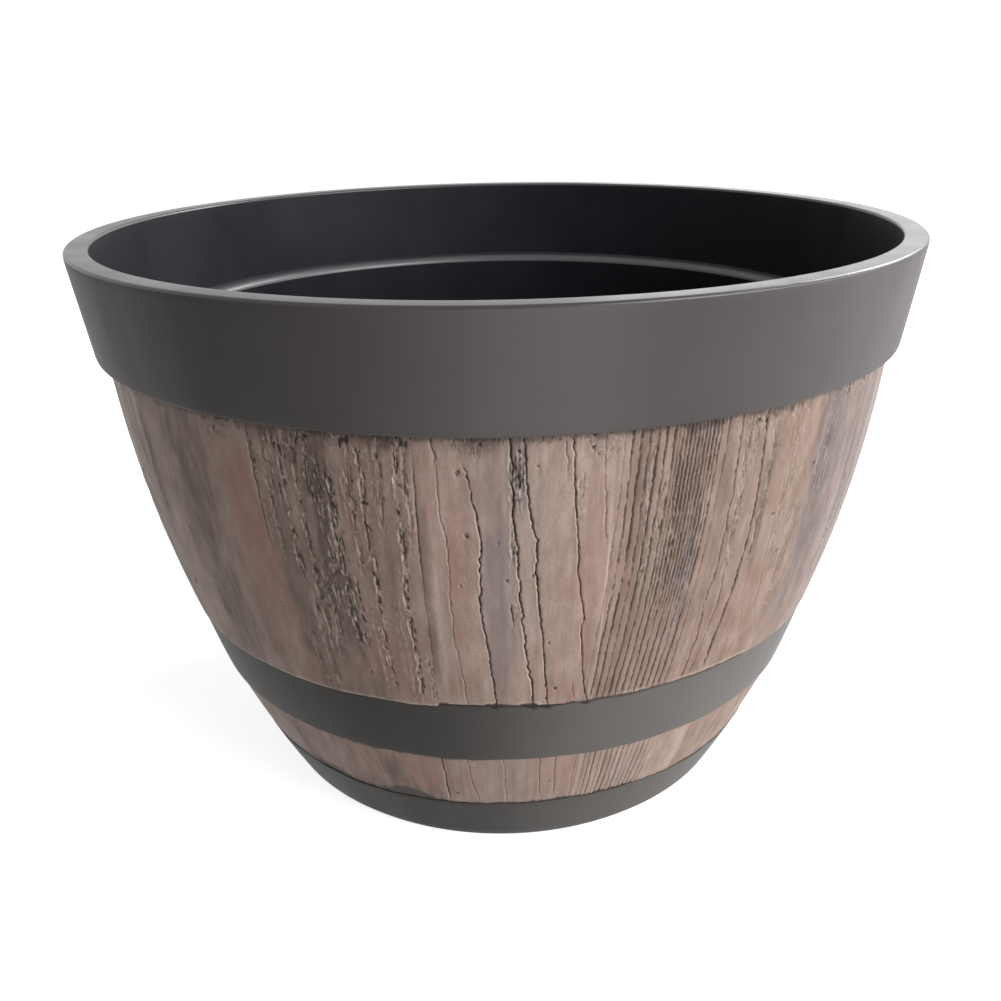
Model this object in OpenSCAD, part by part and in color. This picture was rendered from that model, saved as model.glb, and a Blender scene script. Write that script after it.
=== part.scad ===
// Wood-effect barrel planter: a black inner pot hung in a bellied wood-effect shell, held
// together by a rim band, a middle hoop and a base ring, with lift-out drain plugs.
// Millimetres, +Z up, the origin on the ground at the middle of the base.

/* [Overall] */
// Outer diameter across the rim
overall_d = 380; // [300:1:480]
// Height from the ground to the top of the lip
overall_h = 261; // [210:1:360]
// Outer diameter of the belly where it meets the ground
base_d = 234; // [190:1:270]
// Radius of the arc that the belly follows from the rim band to the ground
belly_arc_r = 544; // [380:1:1400]

/* [Rim] */
// Height of the rim, from the lip to the lower edge of the rim band
rim_h = 44; // [30:0.5:70]
// How much smaller in radius the rim band is at its lower edge than at the lip
rim_taper = 6.2; // [1:0.1:12]
// How far the rim band stands out over the wood-effect wall at its lower edge
band_step = 4.5; // [2:0.1:6]
// Width of the flat lip round the mouth
lip_w = 10; // [8.5:0.1:14]
// Thickness of the lip over the rim band
lip_t = 3; // [2.4:0.1:6]
// Chamfer round the outer edge of the lip
lip_chamfer = 1.9; // [0.5:0.1:2]
// Rounding of the mouth's edge
mouth_round = 0.8; // [0.2:0.1:1.5]
// Extra thickness that the rim gains between the lip and the ledge inside
rim_thicken = 1.7; // [0:0.1:3]
// Wall of the inner pot inside the rim band
rim_wall = 3.5; // [2:0.1:4.5]
// Height of the inside ledge over the lower edge of the rim band
ledge_rise = 2.6; // [-4:0.1:6]
// Drop of the ledge from its upper edge to its lower edge
ledge_drop = 3; // [1:0.1:5]
// Thickness of the pot under the upper edge of the ledge
ledge_t = 6.5; // [5.5:0.1:9]
// Rounding of the rim band's lower outer edge
band_round = 2.2; // [0.5:0.1:3]
// How far the shell's top edge reaches up behind the rim band
shell_tuck = 4; // [3:0.1:8]

/* [Walls] */
// Wall of the wood-effect shell
shell_wall = 4; // [3:0.1:6]
// Air space between the shell and the inner pot
wall_gap = 5.5; // [1:0.1:7]
// Wall of the inner pot
pot_wall = 4; // [2.5:0.1:7]
// Thickness of the pot's floor
floor_t = 6; // [4:0.1:10]
// Height of the underside of the floor over the ground
floor_lift = 8; // [6:0.1:20]
// Width of the pot's foot ring
foot_w = 8; // [5:0.1:16]
// Fillet between the inner wall and the floor
floor_fillet = 8; // [2:0.5:14]

/* [Hoops] */
// Height of the middle hoop's lower edge over the ground
hoop_z = 65; // [50:0.5:110]
// Height of the middle hoop
hoop_h = 32; // [15:0.5:50]
// Depth of the seats in the shell for the middle hoop and the base ring
seat_depth = 2; // [1.4:0.1:2.4]
// How far the middle hoop's upper edge lies below the wood-effect face
hoop_sink = 0.7; // [0:0.1:0.9]
// How far the middle hoop's lower edge stands out of the wood-effect face
hoop_proud = 0.9; // [0:0.1:2]
// Height of the base ring
base_ring_h = 31; // [20:0.5:44]
// How far the base ring stands out of the wood-effect face
base_proud = 0.4; // [0:0.1:1.5]
// Height over the ground at which the base ring carries the shell
base_seat_z = 12; // [8:0.5:16]
// Rounding of the base ring's lower edge
base_round = 3; // [0.5:0.1:5]

/* [Drain] */
// Radius of the circle that the drain holes lie on
drain_pitch_r = 62; // [45:0.5:72]
// Diameter of a drain hole
drain_d = 16; // [10:0.5:20]
// Depth of the recess for a plug's head in the floor
plug_recess = 2; // [1:0.1:3]
// Width of the shoulder on which a plug's head rests, round the hole
plug_shoulder = 5; // [3:0.1:8]
// Thickness of a plug's head
plug_head_t = 3; // [2:0.1:4]
// How far a plug's stem reaches below the floor
plug_reach = 2; // [1:0.1:4]
// Chamfer at the tip of a plug's stem
plug_chamfer = 1.2; // [0.4:0.1:2]
// Diameter of the pull knob on a plug
knob_d = 10; // [6:0.5:14]
// Height of the pull knob over the plug's head
knob_h = 6; // [3:0.5:10]

/* [Clearances] */
// Gap between curved faces that nest in each other
nest_gap = 0.3; // [0.2:0.05:0.5]
// Running clearance in radius between a plug's stem and its hole
plug_fit = 0.05; // [0.02:0.01:0.1]
// Gap round a plug's head in its recess
head_gap = 0.5; // [0.3:0.1:1]

/* [Hidden] */
// Straight steps along a full belly arc, along a short stretch of it and round a small edge
arc_steps = 16;
short_steps = 5;
edge_steps = 4;
$fn = 96;

// Number of drain holes, one for each plug in NODES
drain_count = 4;

rim_r = overall_d / 2;
base_r = base_d / 2;
rim_low_z = overall_h - rim_h;
belly_top_r = rim_r - rim_taper - band_step;

// The belly's arc runs through the shell's upper and lower edges
chord_r = belly_top_r - base_r;
chord = norm([chord_r, rim_low_z]);
arc_rise = sqrt(pow(belly_arc_r, 2) - pow(chord / 2, 2));
arc_r0 = (belly_top_r + base_r) / 2 - arc_rise * rim_low_z / chord;
arc_z0 = rim_low_z / 2 + arc_rise * chord_r / chord;

pot_inset = shell_wall + wall_gap;
bowl_inset = pot_inset + pot_wall;
shell_top_z = rim_low_z + shell_tuck;
ledge_z = rim_low_z + ledge_rise;
shoulder_z = ledge_z - ledge_t;
lip_low_z = overall_h - lip_t;
floor_z = floor_lift + floor_t;
hoop_top_z = hoop_z + hoop_h;
head_seat_z = floor_z - plug_recess;
head_r = drain_d / 2 + plug_shoulder;

// Radius of the belly's face at height z, set in from the wood-effect face by inset
function belly_r(z, inset = 0) = arc_r0 + sqrt(pow(belly_arc_r - inset, 2) - pow(z - arc_z0, 2));

// Radius of the rim band's outer face at height z
function band_r(z) = rim_r - rim_taper * (overall_h - z) / rim_h;

// Radius of the pot's inner face in the rim at height z
function mouth_r(z) = band_r(z) - lip_w - rim_thicken * (overall_h - z) / (overall_h - ledge_z);

// Points up or down the belly from z_from to z_to
function belly_line(z_from, z_to, inset, steps) = [
  for (i = [0:steps]) let (z = z_from + (z_to - z_from) * i / steps) [belly_r(z, inset), z]
];

// Points of an arc round a centre, in degrees
function arc(centre, r, a_from, a_to) = [
  for (i = [0:edge_steps]) let (a = a_from + (a_to - a_from) * i / edge_steps)
    centre + r * [cos(a), sin(a)]
];

module turned(points) {
  rotate_extrude() polygon(points);
}

// Places its child at drain hole number i, counted from 1
module at_drain(i) {
  rotate(45 + 360 / drain_count * (i - 1)) translate([drain_pitch_r, 0, 0]) children();
}

// Black pot that holds the soil: foot, floor, wall, ledge, flared rim and lip
module inner_pot() {
  // The fillet touches the wall where the belly leans out by lean
  lean = asin((arc_z0 - floor_z - floor_fillet) / (belly_arc_r - bowl_inset));
  wall_z = floor_z + floor_fillet * (1 - sin(lean));
  fillet_c = [belly_r(wall_z, bowl_inset) - floor_fillet * cos(lean), floor_z + floor_fillet];
  color([0.09, 0.09, 0.10]) difference() {
    turned(concat(
      [[0, floor_lift], [belly_r(0, pot_inset) - foot_w, floor_lift]],
      [[belly_r(0, pot_inset) - foot_w, 0]],
      belly_line(0, shoulder_z, pot_inset, arc_steps),
      [[mouth_r(shoulder_z) + rim_wall, shoulder_z], [mouth_r(lip_low_z) + rim_wall, lip_low_z]],
      [[band_r(lip_low_z), lip_low_z], [band_r(overall_h - lip_chamfer), overall_h - lip_chamfer]],
      [[rim_r - lip_chamfer, overall_h]],
      arc([rim_r - lip_w + mouth_round, overall_h - mouth_round], mouth_round, 90, 180),
      [[mouth_r(ledge_z), ledge_z]],
      belly_line(ledge_z - ledge_drop, wall_z + floor_fillet, bowl_inset, arc_steps),
      arc(fillet_c, floor_fillet, -lean, -90),
      [[0, floor_z]]
    ));
    for (i = [1:drain_count]) at_drain(i) {
      translate([0, 0, floor_lift - 1]) cylinder(d = drain_d, h = floor_t + 2);
      translate([0, 0, head_seat_z]) cylinder(r = head_r + head_gap, h = plug_recess + 1);
    }
  }
}

// Bellied wood-effect wall with a seat for the middle hoop, a rebate for the base ring
// and a thinner top edge that goes up behind the rim band
module barrel_shell() {
  tongue_z = min(shoulder_z, rim_low_z) - nest_gap;
  color([0.58, 0.49, 0.44]) turned(concat(
    belly_line(base_seat_z, base_ring_h, seat_depth, short_steps),
    belly_line(base_ring_h, hoop_z, 0, short_steps),
    belly_line(hoop_z, hoop_top_z + nest_gap, seat_depth, short_steps),
    belly_line(hoop_top_z + nest_gap, shell_top_z, 0, arc_steps),
    [[mouth_r(shell_top_z) + rim_wall + nest_gap, shell_top_z]],
    [[mouth_r(tongue_z) + rim_wall + nest_gap, tongue_z]],
    belly_line(tongue_z, base_seat_z, shell_wall, arc_steps)
  ));
}

// Tapered band below the lip; its skirt hides the shell's top edge
module rim_band() {
  round_a = atan2(rim_h, rim_taper) - 90;
  round_c = [band_r(rim_low_z + band_round) - band_round / cos(round_a), rim_low_z + band_round];
  color([0.29, 0.27, 0.27]) turned(concat(
    [[belly_r(rim_low_z) + nest_gap, rim_low_z]],
    arc(round_c, band_round, -90, round_a),
    [[band_r(lip_low_z), lip_low_z], [mouth_r(lip_low_z) + rim_wall + nest_gap, lip_low_z]],
    [[mouth_r(shell_top_z) + rim_wall + nest_gap, shell_top_z]],
    [[belly_r(shell_top_z) + nest_gap, shell_top_z]]
  ));
}

// Hoop sprung into the shell's seat: sunk at its upper edge and proud at its lower edge
module middle_hoop() {
  outer = [
    for (i = [0:short_steps]) let (z = hoop_z + hoop_h * i / short_steps)
      [belly_r(z) + hoop_proud - (hoop_proud + hoop_sink) * i / short_steps, z]
  ];
  color([0.27, 0.26, 0.25]) turned(concat(
    outer,
    belly_line(hoop_top_z, hoop_z, seat_depth - nest_gap, short_steps)
  ));
}

// Foot of the barrel: clasps the shell's lower edge and fits round the pot's foot
module base_ring() {
  round_c = [belly_r(0) + base_proud - base_round, base_round];
  low = arc(round_c, base_round, -90, -30);
  color([0.30, 0.28, 0.27]) turned(concat(
    [[belly_r(0, pot_inset - nest_gap), 0]],
    low,
    belly_line(base_round, base_ring_h, -base_proud, short_steps),
    belly_line(base_ring_h, base_seat_z, seat_depth - nest_gap, short_steps),
    belly_line(base_seat_z, 0, pot_inset - nest_gap, short_steps)
  ));
}

// Push-in stopper: a head in the floor's recess, a stem through the hole and a pull knob
module drain_plug(i) {
  stem_r = drain_d / 2 - plug_fit;
  tip_z = floor_lift - plug_reach;
  head_top_z = head_seat_z + plug_head_t;
  knob_r = knob_d / 2;
  knob_round = knob_r / 3;
  knob_c = [knob_r - knob_round, head_top_z + knob_h - knob_round];
  color([0.12, 0.12, 0.12]) at_drain(i) turned(concat(
    [[0, tip_z], [stem_r - plug_chamfer, tip_z], [stem_r, tip_z + plug_chamfer]],
    [[stem_r, head_seat_z], [head_r, head_seat_z]],
    [[head_r, head_top_z - plug_head_t / 4], [head_r - plug_head_t / 4, head_top_z]],
    [[knob_r, head_top_z]],
    arc(knob_c, knob_round, 0, 90),
    [[0, head_top_z + knob_h]]
  ));
}

module drain_plug_1() { drain_plug(1); }
module drain_plug_2() { drain_plug(2); }
module drain_plug_3() { drain_plug(3); }
module drain_plug_4() { drain_plug(4); }

inner_pot();
barrel_shell();
rim_band();
middle_hoop();
base_ring();
drain_plug_1();
drain_plug_2();
drain_plug_3();
drain_plug_4();
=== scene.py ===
"""Looks of the wood-effect barrel planter: a carved wood-effect wall between smooth satin bands,
a black pot inside it and four rubber drain plugs. Shapes are worked out in millimetres and
degrees round the barrel, where -90 is the side that faces the camera."""
import math
from functools import partial

import bmesh
import bpy
import numpy as np
from mathutils import Matrix, Vector


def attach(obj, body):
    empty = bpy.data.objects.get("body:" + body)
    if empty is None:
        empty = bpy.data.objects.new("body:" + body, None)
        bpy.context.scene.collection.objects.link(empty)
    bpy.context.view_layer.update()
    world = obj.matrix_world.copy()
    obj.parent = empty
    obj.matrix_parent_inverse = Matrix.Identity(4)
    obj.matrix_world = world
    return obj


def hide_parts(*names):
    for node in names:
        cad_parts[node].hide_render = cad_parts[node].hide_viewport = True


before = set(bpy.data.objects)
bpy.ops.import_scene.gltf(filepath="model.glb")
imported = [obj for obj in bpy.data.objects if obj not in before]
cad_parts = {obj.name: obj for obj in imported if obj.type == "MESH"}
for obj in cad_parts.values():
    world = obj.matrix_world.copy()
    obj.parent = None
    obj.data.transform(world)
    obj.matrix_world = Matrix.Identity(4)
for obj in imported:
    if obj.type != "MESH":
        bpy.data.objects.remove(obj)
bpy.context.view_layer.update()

MM = 0.001

# Sizes of the planter, in millimetres
RIM_R = 190
HEIGHT = 261
BASE_R = 117
RIM_H = 44
RIM_TAPER = 6.2
BAND_STEP = 4.5
BELLY_ARC_R = 544
LIP_W = 10
LIP_T = 3
LIP_EDGE = 0.8
WIDEST_R = 189.67
MOUTH_ROUND = 1.2
RIM_THICKEN = 1.7
RIM_WALL = 3.5
LEDGE_Z = 219.6
LEDGE_DROP = 4.5
SHOULDER_Z = 213.1
SHELL_TOP_Z = 221
SHELL_WALL = 4
POT_INSET = 9.5
BOWL_INSET = 13.5
FLOOR_LIFT = 8
FLOOR_Z = 14
FOOT_W = 8
FLOOR_FILLET = 8
HOOP_Z = 65
HOOP_TOP_Z = 97
HOOP_SINK = 0.7
HOOP_PROUD = 0.9
SEAT_DEPTH = 2
BASE_RING_H = 31
BASE_PROUD = 0.4
BASE_SEAT_Z = 12
BASE_ROUND = 3
NEST_GAP = 0.3
DRAIN_COUNT = 4
DRAIN_PITCH_R = 62
DRAIN_R = 8
PLUG_RECESS = 2
PLUG_HEAD_R = 13
PLUG_HEAD_T = 3
PLUG_FIT = 0.05
PLUG_TIP_Z = 6
HEAD_GAP = 0.5
KNOB_R = 5
KNOB_H = 6
BAND_LOW_Z = HEIGHT - RIM_H
LIP_LOW_Z = HEIGHT - LIP_T
HEAD_SEAT_Z = FLOOR_Z - PLUG_RECESS

# The belly's arc runs through the wall's upper edge and the foot
BELLY_TOP_R = RIM_R - RIM_TAPER - BAND_STEP
CHORD = math.hypot(BELLY_TOP_R - BASE_R, BAND_LOW_Z)
ARC_RISE = math.sqrt(BELLY_ARC_R ** 2 - (CHORD / 2) ** 2)
ARC_R0 = (BELLY_TOP_R + BASE_R) / 2 - ARC_RISE * BAND_LOW_Z / CHORD
ARC_Z0 = BAND_LOW_Z / 2 + ARC_RISE * (BELLY_TOP_R - BASE_R) / CHORD

# Height of noise cells that change only slowly up the wall
TALL = 300


def belly_r(z, inset=0.0):
    """Radius of the belly at height z, set in from the wood-effect face by inset."""
    return ARC_R0 + np.sqrt((BELLY_ARC_R - inset) ** 2 - (z - ARC_Z0) ** 2)


def band_r(z):
    """Radius of the rim band's face at height z."""
    return RIM_R - RIM_TAPER * (HEIGHT - z) / RIM_H


def mouth_r(z):
    """Radius of the pot's inner face in the rim at height z."""
    return band_r(z) - LIP_W - RIM_THICKEN * (HEIGHT - z) / (HEIGHT - LEDGE_Z)


def ramp(low, high, value):
    """0 below low, 1 above high, and an even curve between them."""
    t = np.clip((value - low) / (high - low), 0, 1)
    return t * t * (3 - 2 * t)


def plateau(start, full, fall, end, value):
    """0 outside start and end, 1 between full and fall, and even curves between them."""
    return ramp(start, full, value) * ramp(-end, -fall, -value)


def hill(away, half):
    """1 where away is 0, falling smoothly towards 0 on both sides."""
    return np.exp(-(away / half) ** 2)


def wrapped(deg):
    """An angle brought between -180 and 180."""
    return (deg + 180) % 360 - 180


def noise(deg, z, cell_deg, cell_mm, seed):
    """Smooth noise from -1 to 1 that closes on itself round the barrel."""
    around = max(1, round(360 / cell_deg))
    x = np.asarray(deg) / 360 * around
    y = (np.asarray(z) + 200) / cell_mm
    grid = np.random.default_rng(seed).uniform(-1, 1, (int(600 / cell_mm) + 3, around))
    x0 = np.floor(x).astype(int)
    y0 = np.floor(y).astype(int)
    tx = ramp(0, 1, x - x0)
    ty = ramp(0, 1, y - y0)
    left = x0 % around
    right = (x0 + 1) % around
    low = grid[y0, left] * (1 - tx) + grid[y0, right] * tx
    high = grid[y0 + 1, left] * (1 - tx) + grid[y0 + 1, right] * tx
    return low * (1 - ty) + high * ty


# Meshes turned round the planter's axis


def placed(name, data):
    """A new object of the scene made of this mesh, lamp or camera."""
    thing = bpy.data.objects.new(name, data)
    bpy.context.scene.collection.objects.link(thing)
    return thing


def fillet(corners, steps):
    """Profile through corners given as (radius, height, rounding), with each corner rounded."""
    profile = []
    for i, (r, z, rounding) in enumerate(corners):
        here = Vector((r, z))
        before = Vector(corners[i - 1][:2]) - here
        after = Vector(corners[(i + 1) % len(corners)][:2]) - here
        if rounding == 0:
            profile.append((r, z))
            continue
        reach = min(rounding, before.length * 0.45, after.length * 0.45)
        start = here + before.normalized() * reach
        end = here + after.normalized() * reach
        for k in range(steps + 1):
            t = k / steps
            point = start * (1 - t) ** 2 + here * 2 * t * (1 - t) + end * t * t
            profile.append(tuple(point))
    return profile


def filled_in(profile, longest):
    """The profile with extra points on every stretch longer than longest."""
    points = []
    for i, start in enumerate(profile):
        end = profile[(i + 1) % len(profile)]
        parts = max(1, math.ceil(math.dist(start, end) / longest))
        for k in range(parts):
            t = k / parts
            points.append((start[0] + (end[0] - start[0]) * t, start[1] + (end[1] - start[1]) * t))
    return points


def profile_columns(corners, longest, steps=4):
    """Radii and heights of a rounded profile's points, each as a column."""
    profile = filled_in(fillet(corners, steps), longest)
    return (np.array([point[k] for point in profile])[:, None] for k in (0, 1))


def even_angles(count):
    return -180 + 360 * np.arange(count) / count


def turned(name, r, z, deg, weights=None, strips=2):
    """Closed ring with radius and height r, z for each profile row and each angle in deg."""
    rows = len(r)
    cols = len(deg)
    r, z = (np.broadcast_to(part.reshape(rows, -1), (rows, cols)) for part in (r, z))
    turn = np.radians(deg)
    points = np.stack([r * np.cos(turn), r * np.sin(turn), z], -1).reshape(-1, 3) * MM
    mean_r = r.mean(1)
    mean_z = z.mean(1)
    area = np.sum(mean_r * np.roll(mean_z, -1) - np.roll(mean_r, -1) * mean_z)
    i, j = np.meshgrid(np.arange(rows), np.arange(cols), indexing="ij")
    i2 = (i + 1) % rows
    j2 = (j + 1) % cols
    corners = [(i, j), (i2, j), (i2, j2), (i, j2)]
    steps = [(0, 0), (1, 0), (1, 1), (0, 1)]
    if area > 0:
        corners.reverse()
        steps.reverse()
    faces = np.stack([a * cols + b for a, b in corners], -1).reshape(-1, 4)

    # The map cuts the ring into strips, stacked one over another
    if weights is None:
        weights = np.hypot(np.roll(mean_r, -1) - mean_r, np.roll(mean_z, -1) - mean_z)
    run = np.concatenate([[0], np.cumsum(weights)])
    run = run / run[-1]
    per_strip = cols // strips
    strip = np.minimum(j // per_strip, strips - 1)
    margin = 0.01
    uv = []
    for down, along in steps:
        u = (j + along - strip * per_strip) / per_strip
        v = (strip + margin + (1 - 2 * margin) * run[i + down]) / strips
        uv.append(np.stack([margin + (1 - 2 * margin) * u, v], -1))
    uv = np.stack(uv, 2).reshape(-1, 2)

    mesh = bpy.data.meshes.new(name)
    mesh.vertices.add(len(points))
    mesh.vertices.foreach_set("co", points.ravel())
    mesh.loops.add(faces.size)
    mesh.loops.foreach_set("vertex_index", faces.ravel())
    mesh.polygons.add(len(faces))
    mesh.polygons.foreach_set("loop_start", np.arange(0, faces.size, 4))
    mesh.update(calc_edges=True)
    mesh.validate()
    mesh.uv_layers.new(name="OFBake")
    mesh.uv_layers["OFBake"].data.foreach_set("uv", uv.ravel())
    mesh.shade_smooth()
    return placed(name, mesh)


def paint(piece, name, values):
    """Stores one number per point, which the materials read by that name."""
    layer = piece.data.attributes.new(name, "FLOAT", "POINT")
    layer.data.foreach_set("value", np.asarray(values, np.float32).ravel())


# The carved wood-effect wall

# Edge of each moulded stave, what the stave to the right of it looks like and how pale it is
STAVES = [
    (-142, "plain", 0), (-119.4, "worn", -0.25), (-99.4, "cracked", 0.38), (-77.6, "ribbed", -0.42),
    (-56.2, "plain", -0.62), (-36, "plain", -1.1), (-14.5, "worn", -0.35), (7, "ribbed", 0.1),
    (28, "plain", 0.3), (49, "worn", -0.35), (70.5, "cracked", 0.25), (91, "ribbed", -0.1),
    (113, "plain", 0.2), (134, "cracked", -0.2), (155, "worn", 0.1), (176.5, "ribbed", 0.25),
    (-162, "plain", 0.4),
]
FRONT_STAVES = (-142, -119.4, -99.4, -77.6, -56.2)

# Long cracks of the front staves: half width, depth and (height, angle) from the top down
FRONT_CRACKS = [
    (0.3, 0.8, [(215, -97.3), (208, -97)]),
    (0.22, 0.5, [(204, -96.9), (190, -96.9), (179, -96.3), (165, -96.2), (142, -96.3), (128, -96),
                (114, -95.5), (99, -95.4)]),
    (0.3, 1, [(205, -94), (203, -93.5), (188, -92.9), (178, -92.5), (171, -92.2), (169, -92.6),
              (150, -92.7), (140, -92.4), (128, -91.9), (117, -91.6), (106, -91.3), (97, -91.3)]),
    (0.32, 1, [(215, -89), (206, -88.7), (186, -88.7), (176, -88.2), (166, -88.2), (155, -87.9),
               (144, -87.5), (142, -87.8), (139, -87.3), (128, -87.1), (116, -86.7), (106, -86.1),
               (97, -85.9)]),
    (0.3, 1, [(215, -87.4), (204, -87.2), (190, -86.9), (181, -86.5), (177, -86), (164, -86), (152, -85.7),
              (140, -85.4), (134, -85), (122, -84.8), (110, -84.4), (98, -83.9)]),
    (0.24, 0.5, [(215, -82.9), (203, -82.8)]),
    (0.28, 0.9, [(215, -82.2), (200, -82), (178, -81.4), (162, -81), (150, -80.5), (143, -80), (134, -80.1),
                 (122, -79.7), (110, -79.1), (98, -78.3)]),
    (0.24, 0.5, [(215, -78.8), (196, -78.6), (182, -78.2), (175, -78)]),
    (0.3, 0.8, [(149, -89.1), (141, -88.8)]),
    (0.24, 0.5, [(108, -80.7), (101, -80.3)]),
    (0.28, 0.7, [(215, -62), (195, -61.9), (152, -62.1), (140, -62.7), (120, -62.6), (100, -63.2)]),
    (0.26, 0.5, [(150, -60.6), (135, -60.4), (120, -61.2), (100, -61.7)]),
    (0.4, 0.8, [(215, -58.3), (200, -58), (185, -57.7), (165, -57.6), (140, -58.1), (120, -58.9),
                (103, -59.3)]),
    (0.24, 0.3, [(128, -55), (115, -54), (104, -51.8)]),
    (0.24, 0.3, [(146, -53), (125, -52.2), (112, -50)]),
    (0.3, 0.9, [(66, -100.6), (50, -100.4), (34, -100.5)]),
    (0.26, 0.6, [(66, -96.2), (46, -95.8), (34, -95)]),
    (0.28, 0.45, [(66, -90.4), (50, -90.2), (34, -90)]),
    (0.26, 0.5, [(66, -84.5), (38, -84)]),
    (0.26, 0.5, [(66, -82), (38, -81.4)]),
    (0.24, 0.3, [(66, -78.6), (34, -78.2)]),
]

# Worn strips of the front staves: angle, upper and lower height, width in degrees, strength
FRONT_WORN = [
    (-141.5, 213, 165, 0.7, 0.4), (-119.2, 215, 190, 0.2, 1), (-118.7, 190, 165, 0.2, 0.5),
    (-116.2, 130, 98, 0.25, 0.7), (-115.6, 215, 186, 1, 1), (-115.2, 186, 150, 0.35, 0.9),
    (-113.3, 215, 120, 0.3, 0.9), (-112, 165, 118, 0.45, 0.8), (-110.6, 208, 140, 0.4, 0.9),
    (-109.2, 205, 124, 0.45, 1), (-108.1, 160, 124, 0.6, 1), (-106.8, 213, 160, 0.4, 0.9),
    (-105.3, 213, 104, 0.35, 1), (-103.2, 213, 178, 0.25, 0.8), (-103, 150, 105, 0.2, 0.4),
    (-101.3, 213, 98, 0.3, 1), (-100.2, 213, 172, 0.2, 0.8), (-99.9, 125, 99, 0.35, 0.7),
    (-117.4, 208, 160, 0.25, 0.7),
    (-114.3, 150, 100, 0.25, 0.8), (-111.8, 212, 186, 0.5, 1), (-107.6, 205, 182, 0.3, 0.7),
    (-104.2, 213, 190, 0.3, 0.7), (-106.2, 150, 100, 0.2, 0.6), (-102.3, 150, 99, 0.2, 0.5),
    (-97, 212, 205, 0.4, 0.5), (-93.4, 215, 210, 0.9, 0.7), (-88.7, 213, 165, 0.25, 0.8),
    (-87.9, 213, 190, 0.5, 1), (-88.2, 160, 136, 0.3, 0.5), (-81, 203, 181, 0.35, 0.7),
    (-80, 215, 205, 0.4, 0.4), (-73.2, 213, 150, 0.3, 0.65), (-71.4, 200, 146, 0.4, 0.7),
    (-69.8, 195, 150, 0.4, 0.6), (-60.7, 215, 150, 0.35, 0.75), (-59.6, 213, 190, 0.4, 0.5),
    (-56.6, 213, 150, 0.3, 0.65), (-52.2, 206, 140, 1, 0.4), (-49.5, 190, 120, 0.7, 0.4),
    (-45, 208, 170, 1, 0.5), (-125.5, 214, 205, 1.2, 0.5),
]

# Small single dents of the front staves: angle, height and radius in millimetres
FRONT_DENTS = [
    (-93.9, 179, 1.1), (-94.6, 203, 1), (-89.5, 160, 0.7), (-86, 205, 0.8), (-95, 158, 0.6),
    (-86.2, 162, 0.8), (-84.2, 131, 0.6), (-83, 107, 0.8), (-108.6, 112, 0.8), (-106.2, 117, 0.6),
    (-90.4, 176, 0.5),
    (-66.5, 118, 0.6), (-54, 170, 0.8), (-51, 151, 0.9), (-47.5, 186, 0.9), (-99, 38, 0.9), (-82.5, 47, 0.6),
]

# Washes of colour on the front staves: angle, height, half width, half height and strength
FRONT_UMBER = [
    (-111, 178, 2.2, 50, 1), (-116.5, 150, 1.6, 46, 0.65), (-132, 158, 3.2, 80, 0.85),
    (-109.5, 140, 1.5, 26, 0.8), (-113.5, 200, 1.2, 18, 0.6), (-108, 98, 1, 16, 0.8),
    (-128.5, 205, 1.6, 16, 0.5), (-92.5, 214, 2, 4, 0.7), (-103, 214, 2, 3, 0.8), (-117, 213, 1.6, 4, 0.8),
    (-98.9, 150, 0.5, 60, 0.6),
    (-142, 188, 1.8, 30, 0.6), (-112, 112, 3, 22, 0.5), (-68.2, 186, 2.4, 44, 0.4),
    (-73.5, 170, 2, 50, 0.3), (-63.4, 175, 1.2, 38, 0.45), (-56.4, 180, 0.7, 38, 0.7),
    (-47.5, 170, 2, 10, 0.35), (-44.5, 130, 2.5, 12, 0.4), (-40.5, 195, 7, 44, 0.5),
    (-60.5, 165, 3.2, 44, 0.2), (-34, 190, 6, 50, 0.45), (-42.5, 186, 1.6, 30, 0.45),
    (-103.5, 150, 1.2, 60, 0.3), (-88.2, 205, 0.9, 12, 0.6), (-79, 125, 0.6, 30, 0.2),
    (-109.5, 35, 6, 4.5, 0.6), (-130, 33, 14, 3.5, 0.9), (-110.5, 48, 2.4, 13, 0.7), (-146, 52, 8, 12, 0.25),
    (-131, 55, 1.3, 10, 0.7), (-43.5, 180, 4.5, 60, 0.72), (-39.5, 150, 2.4, 40, 0.3),
]
FRONT_RED = [
    (-121.8, 162, 2.6, 32, 1), (-124, 192, 2, 20, 0.45), (-105, 116, 4, 17, 0.8),
    (-95.2, 160, 1.4, 36, 0.6), (-98.6, 192, 0.9, 22, 0.55), (-79.6, 150, 1.8, 34, 0.55),
    (-83, 106, 3.4, 9, 0.45), (-119.2, 104, 0.8, 8, 0.8), (-107, 178, 1, 16, 0.5),
    (-104, 52, 4.5, 14, 0.6), (-80, 48, 3.4, 16, 0.5), (-97, 50, 1.5, 14, 0.4),
    (-66, 100, 3, 4, 0.25), (-115, 48, 3, 12, 0.4), (-75, 160, 1, 30, 0.35), (-55.5, 145, 1, 10, 0.3),
]
FRONT_SLATE = [
    (-90.4, 152, 1.6, 55, 0.75), (-88, 200, 0.9, 14, 0.7), (-67.4, 165, 1, 40, 0.6),
    (-43.8, 178, 3.4, 52, 1), (-32, 160, 9, 60, 0.85), (-111.4, 186, 1.1, 16, 0.6),
    (-90.5, 48, 2, 14, 0.35), (-68.5, 40, 1.4, 12, 0.3), (-130, 118, 1.5, 18, 0.3),
    (-132, 176, 1.2, 10, 0.35), (-85.5, 178, 0.6, 20, 0.3),
]

# Height of the cracks' and of the worn strips' upper ends, under the rim band
CRACK_TOP_Z = 215
WORN_TOP_Z = 213

# How many cracks, worn strips and dents a made-up stave of each kind gets
CRACK_COUNT = {"plain": 2, "worn": 3, "cracked": 6, "ribbed": 2}
WORN_COUNT = {"plain": 4, "worn": 16, "cracked": 6, "ribbed": 7}
DENT_COUNT = 5

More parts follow.
